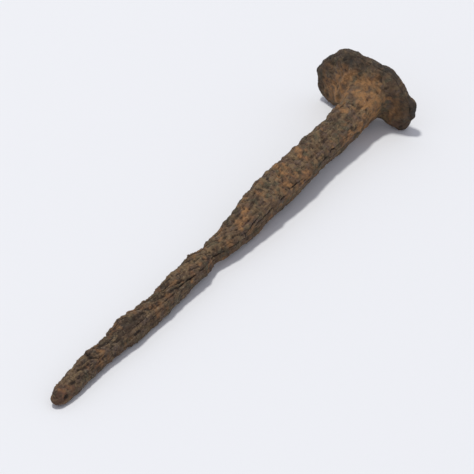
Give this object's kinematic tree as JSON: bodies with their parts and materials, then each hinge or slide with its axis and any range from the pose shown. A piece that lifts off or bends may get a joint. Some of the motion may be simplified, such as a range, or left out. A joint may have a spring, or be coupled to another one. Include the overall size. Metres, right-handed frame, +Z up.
{
  "type": "rail spike",
  "caption": "Corroded hand-forged rail spike: a tapered, twisted square shank and a broad D-shaped head that bears on a rail's foot.",
  "frame": {"origin": "centre of the bounding box's base, on the surface that the spike lies on", "axes": "+X along the spike from its tip to its head, +Y to the spike's left seen from the tip, +Z up from the surface it lies on"},
  "size_m": [0.1562, 0.032, 0.0213],
  "materials": {
    "iron_core": "dark pitted iron",
    "tip_crust": "matt, gritty rust",
    "shank_top_crust_fore": "matt, gritty rust",
    "shank_top_crust_aft": "matt, gritty rust",
    "shank_right_crust_fore": "matt, gritty rust",
    "shank_right_crust_aft": "matt, gritty rust",
    "shank_left_crust": "matt, gritty rust",
    "shank_bottom_crust": "matt, gritty rust",
    "head_underside_crust": "matt, gritty rust",
    "head_rim_crust": "matt, gritty rust",
    "head_face_crust": "matt, gritty rust"
  },
  "bodies": {
    "root": {"iron_core": "iron_core", "tip_crust": "tip_crust", "shank_top_crust_fore": "shank_top_crust_fore", "shank_top_crust_aft": "shank_top_crust_aft", "shank_right_crust_fore": "shank_right_crust_fore", "shank_right_crust_aft": "shank_right_crust_aft", "shank_left_crust": "shank_left_crust", "shank_bottom_crust": "shank_bottom_crust", "head_underside_crust": "head_underside_crust", "head_rim_crust": "head_rim_crust", "head_face_crust": "head_face_crust"}
  },
  "joints": []
}
